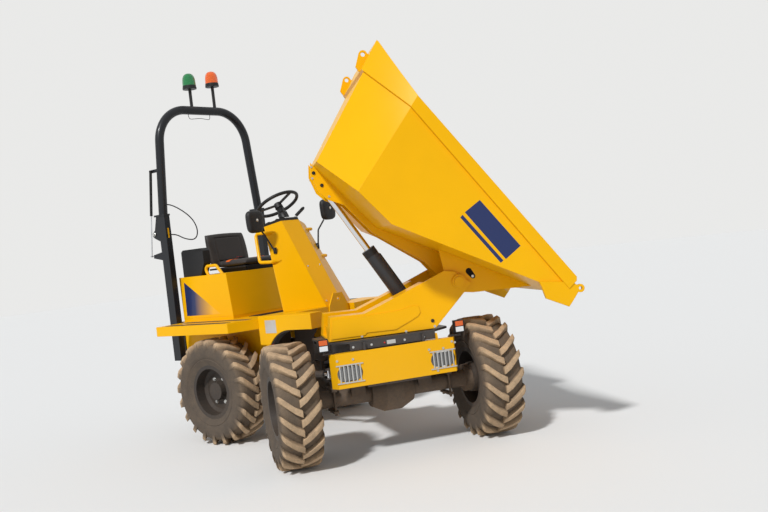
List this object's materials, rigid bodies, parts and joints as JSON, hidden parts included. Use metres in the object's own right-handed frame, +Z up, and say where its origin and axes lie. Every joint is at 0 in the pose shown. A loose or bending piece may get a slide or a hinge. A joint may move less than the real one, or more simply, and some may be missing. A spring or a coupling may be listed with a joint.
{
  "type": "site dumper",
  "caption": "Articulated site dumper with a swivelling, front-tipping skip, a folding roll-over hoop and an engine under the driver's seat.",
  "frame": {"origin": "middle of the machine's bounding box, on the ground", "axes": "+X the way the rear chassis faces, +Y its left, +Z up"},
  "size_m": [3.8752, 2.4524, 3.1866],
  "materials": {
    "black_metal": "satin",
    "black_plastic": "matte",
    "cast_metal": "rough",
    "chrome_rod": "polished",
    "grey_paint": "satin",
    "hose_rubber": "matte",
    "lamp_clear": "gloss",
    "lens_amber": "gloss",
    "lens_green": "gloss",
    "lens_red": "gloss",
    "red_paint": "gloss",
    "seat_vinyl": "matte",
    "tyre_rubber": "matte",
    "yellow_paint": "gloss"
  },
  "bodies": {
    "rear_chassis": {"rear_frame": "grey_paint", "rear_axle": "grey_paint", "engine_block": "cast_metal", "deck": "yellow_paint", "nose": "yellow_paint", "arch_liners": "black_metal", "console": "yellow_paint", "knee_panel": "black_plastic", "dash": "black_plastic", "steering_column": "black_metal", "handrails": "yellow_paint", "mirrors": "black_metal", "rops_legs": "grey_paint", "pedals": "black_metal", "tail_lamps": "lens_red", "lock_bar": "red_paint", "hoop_cable": "hose_rubber"},
    "engine_cover": {"engine_cover": "yellow_paint", "cover_handle": "yellow_paint", "side_guard": "black_plastic", "seat_base": "black_metal", "seat_cushion": "seat_vinyl", "seat_back": "seat_vinyl"},
    "rops_hoop": {"rops_hoop": "grey_paint", "beacon_posts": "black_metal", "beacon_green": "lens_green", "beacon_amber": "lens_amber", "beacon_cable": "hose_rubber"},
    "strut_barrel": {"strut_barrel": "black_metal"},
    "strut_rod": {"strut_rod": "chrome_rod"},
    "steering_wheel": {"steering_wheel": "black_plastic"},
    "front_chassis": {"front_frame": "grey_paint", "front_plate": "yellow_paint", "headlamps": "lamp_clear", "lamp_guards": "black_metal", "lamp_posts": "black_metal", "side_lamps": "lens_amber", "turntable": "grey_paint", "front_axle": "grey_paint"},
    "swivel_frame": {"swivel_frame": "yellow_paint"},
    "skip": {"skip": "yellow_paint", "skip_frame": "yellow_paint"},
    "tip_barrel": {"tip_barrel": "grey_paint"},
    "tip_rod": {"tip_rod": "chrome_rod"},
    "steer_barrel": {"steer_barrel": "grey_paint"},
    "steer_rod": {"steer_rod": "chrome_rod"},
    "wheel_rear_right": {"tyre_rear_right": "tyre_rubber", "rim_rear_right": "grey_paint"},
    "wheel_rear_left": {"tyre_rear_left": "tyre_rubber", "rim_rear_left": "grey_paint"},
    "wheel_front_right": {"tyre_front_right": "tyre_rubber", "rim_front_right": "grey_paint"},
    "wheel_front_left": {"tyre_front_left": "tyre_rubber", "rim_front_left": "grey_paint"}
  },
  "joints": [
    {"name": "steer", "type": "hinge", "parent": "rear_chassis", "child": "front_chassis", "pos_m": [-0.26459, 0.31195, 0.5093], "axis": [0, 0, 1], "range_deg": [0, 68]},
    {"name": "swivel", "type": "hinge", "parent": "front_chassis", "child": "swivel_frame", "pos_m": [0.53543, -0.22768, 0.8143], "axis": [0, 0, 1], "range_deg": [-173, 7]},
    {"name": "tip", "type": "hinge", "parent": "swivel_frame", "child": "skip", "pos_m": [0.89823, 0.18968, 1.1163], "axis": [-0.7547, 0.6561, 0], "range_deg": [-50.7, 7]},
    {"name": "roll_rear_right", "type": "hinge", "parent": "rear_chassis", "child": "wheel_rear_right", "pos_m": [-1.02959, -0.39305, 0.4218], "axis": [0, 1, 0], "continuous": true},
    {"name": "roll_rear_left", "type": "hinge", "parent": "rear_chassis", "child": "wheel_rear_left", "pos_m": [-1.02959, 1.01695, 0.4218], "axis": [0, 1, 0], "continuous": true},
    {"name": "roll_front_right", "type": "hinge", "parent": "front_chassis", "child": "wheel_front_right", "pos_m": [0.25312, -0.88764, 0.4218], "axis": [0.5592, 0.829, 0], "continuous": true},
    {"name": "roll_front_left", "type": "hinge", "parent": "front_chassis", "child": "wheel_front_left", "pos_m": [1.04158, 0.2813, 0.4218], "axis": [0.5592, 0.829, 0], "continuous": true},
    {"name": "steering_wheel_turn", "type": "hinge", "parent": "rear_chassis", "child": "steering_wheel", "pos_m": [-0.88459, 0.31195, 1.8713], "axis": [-0.4695, 0, 0.8829], "continuous": true},
    {"name": "cover_open", "type": "hinge", "parent": "rear_chassis", "child": "engine_cover", "pos_m": [-1.69659, 0.31195, 0.9983], "axis": [0, -1, 0], "range_deg": [0, 50]},
    {"name": "rops_fold", "type": "hinge", "parent": "rear_chassis", "child": "rops_hoop", "pos_m": [-1.83959, 0.31195, 1.7443], "axis": [0, -1, 0], "range_deg": [0, 95]},
    {"name": "tip_barrel_swing", "type": "hinge", "parent": "swivel_frame", "child": "tip_barrel", "pos_m": [0.71257, -0.0239, 0.9243], "axis": [-0.7547, 0.6561, 0], "range_deg": [-57.31, 7.93]},
    {"name": "tip_rod_slide", "type": "slide", "parent": "tip_barrel", "child": "tip_rod", "axis": [-0.3248, -0.3736, 0.8689], "range_m": [-0.26675, 0.03692]},
    {"name": "steer_barrel_swing", "type": "hinge", "parent": "rear_chassis", "child": "steer_barrel", "pos_m": [-0.63459, -0.01805, 0.4793], "axis": [0, 0, 1], "range_deg": [0, 22.25]},
    {"name": "steer_rod_slide", "type": "slide", "parent": "steer_barrel", "child": "steer_rod", "axis": [0.9999, -0.0165, 0], "range_m": [0, 0.31507]},
    {"name": "strut_swing", "type": "hinge", "parent": "rops_hoop", "child": "strut_barrel", "pos_m": [-1.80459, -0.25905, 2.2863], "axis": [0, -1, 0], "range_deg": [-16.28, 0]},
    {"name": "strut_rod_slide", "type": "slide", "parent": "strut_barrel", "child": "strut_rod", "axis": [-0.1679, 0, -0.9858], "range_m": [-0.25253, 0]}
  ],
  "couplings": [
    {"joint": "tip_barrel_swing", "follows": "tip", "ratio": 1.13},
    {"joint": "tip_rod_slide", "follows": "tip", "m_per_rad": 0.30134},
    {"joint": "steer_barrel_swing", "follows": "steer", "ratio": 0.32698},
    {"joint": "steer_rod_slide", "follows": "steer", "m_per_rad": 0.26539},
    {"joint": "strut_swing", "follows": "rops_fold", "ratio": -0.17119},
    {"joint": "strut_rod_slide", "follows": "rops_fold", "m_per_rad": -0.15224}
  ]
}
